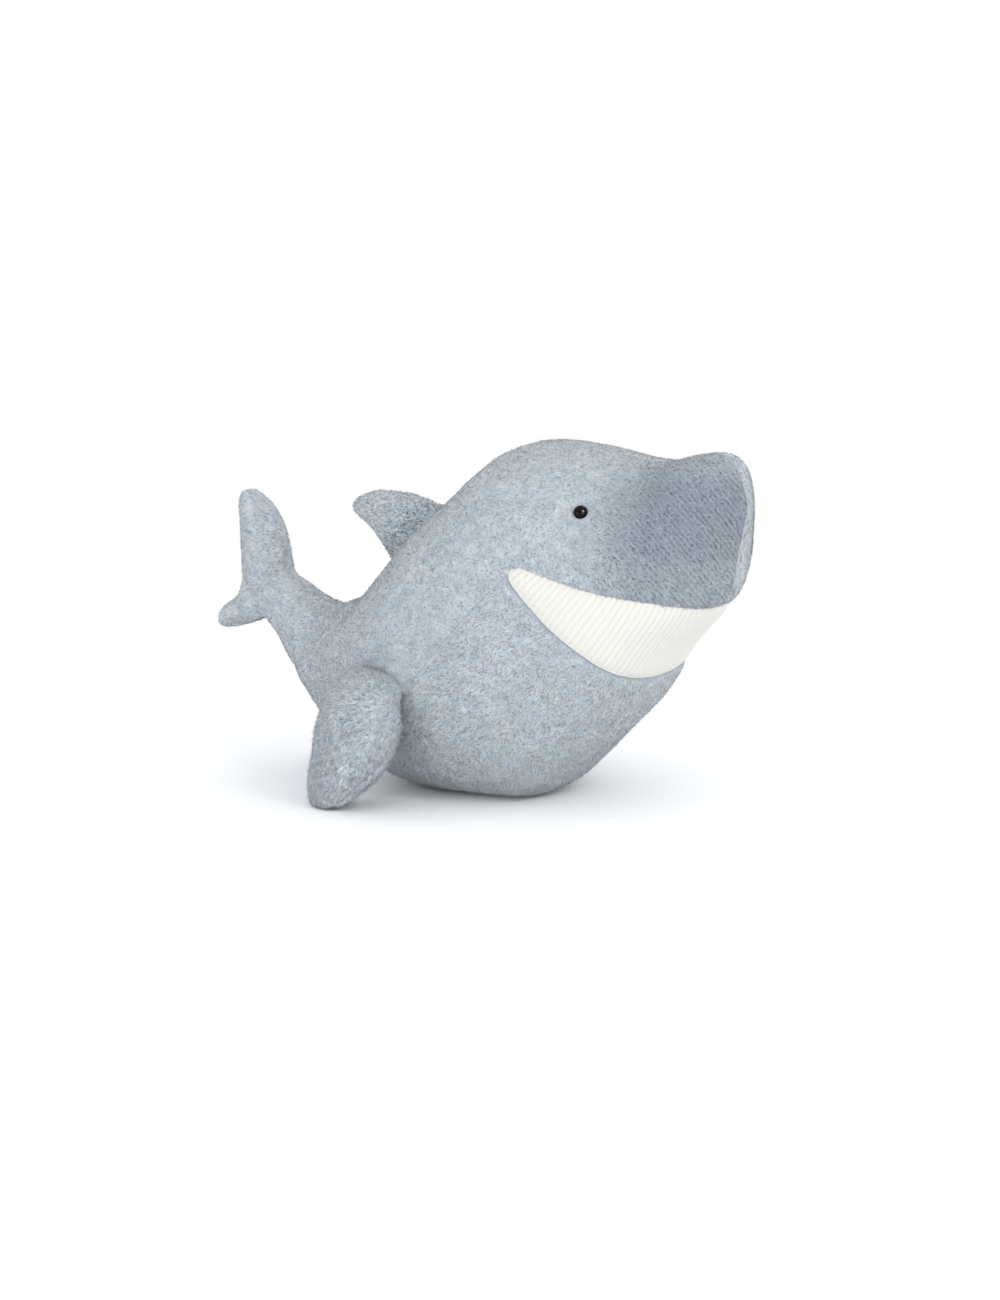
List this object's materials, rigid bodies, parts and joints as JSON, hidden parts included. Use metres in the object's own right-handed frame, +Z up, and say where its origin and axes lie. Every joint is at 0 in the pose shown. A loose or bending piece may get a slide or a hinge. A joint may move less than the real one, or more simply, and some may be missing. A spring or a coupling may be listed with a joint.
{
  "type": "plush shark",
  "caption": "Soft stuffed toy shark sitting upright on its belly, with a blunt raised snout, a wide ribbed mouth, bead eyes, a dorsal fin, flippers and a curled tail.",
  "frame": {"origin": "on the floor at the flat under the belly, on the shark's middle plane", "axes": "+X towards the snout, +Y towards the shark's left side, +Z up"},
  "size_m": [0.3404, 0.2198, 0.1982],
  "materials": {
    "grey_pile": "matte",
    "grey_pile_belly": "matte",
    "grey_pile_fins": "matte",
    "white_corduroy": "matte",
    "fibre_fill": "matte",
    "pouch_cloth": "matte",
    "pellets": "matte",
    "eye_plastic": "gloss",
    "washer_plastic": "satin"
  },
  "bodies": {
    "body": {"side_panel_left": "grey_pile", "side_panel_right": "grey_pile", "mouth_panel": "white_corduroy", "belly_panel": "grey_pile_belly", "body_stuffing": "fibre_fill", "bean_pouch": "pouch_cloth", "bean_pellets": "pellets", "eye_right": "eye_plastic", "eye_left": "eye_plastic", "eye_washer_right": "washer_plastic", "eye_washer_left": "washer_plastic"},
    "tail": {"tail_panel_left": "grey_pile", "tail_panel_right": "grey_pile", "tail_stuffing": "fibre_fill"},
    "fluke": {"fluke_panel_left": "grey_pile_fins", "fluke_panel_right": "grey_pile_fins", "fluke_stuffing": "fibre_fill"},
    "dorsal_fin": {"dorsal_fin_panel_left": "grey_pile_fins", "dorsal_fin_panel_right": "grey_pile_fins", "dorsal_fin_stuffing": "fibre_fill"},
    "right_flipper": {"right_flipper_outer_panel": "grey_pile_fins", "right_flipper_inner_panel": "grey_pile_fins", "right_flipper_stuffing": "fibre_fill"},
    "left_flipper": {"left_flipper_outer_panel": "grey_pile_fins", "left_flipper_inner_panel": "grey_pile_fins", "left_flipper_stuffing": "fibre_fill"}
  },
  "joints": [
    {"name": "tail_sway", "type": "hinge", "parent": "body", "child": "tail", "pos_m": [-0.112, 0, 0.0715], "axis": [0.6112, 0, 0.7915], "range_deg": [-22, 22], "stiffness_Nm_per_rad": 0.15},
    {"name": "fluke_curl", "type": "hinge", "parent": "tail", "child": "fluke", "pos_m": [-0.1465, 0, 0.097], "axis": [0, 1, 0], "range_deg": [-14, 19], "stiffness_Nm_per_rad": 0.1},
    {"name": "dorsal_fin_fold", "type": "hinge", "parent": "body", "child": "dorsal_fin", "pos_m": [-0.0465, 0, 0.139], "axis": [0.6757, 0, 0.7372], "range_deg": [-32, 32], "stiffness_Nm_per_rad": 0.06},
    {"name": "right_flipper_lift", "type": "hinge", "parent": "body", "child": "right_flipper", "pos_m": [-0.0365, -0.075, 0.0705], "axis": [-1, 0, 0], "range_deg": [0, 60], "stiffness_Nm_per_rad": 0.12},
    {"name": "left_flipper_lift", "type": "hinge", "parent": "body", "child": "left_flipper", "pos_m": [-0.0365, 0.075, 0.0705], "axis": [1, 0, 0], "range_deg": [0, 60], "stiffness_Nm_per_rad": 0.12}
  ]
}
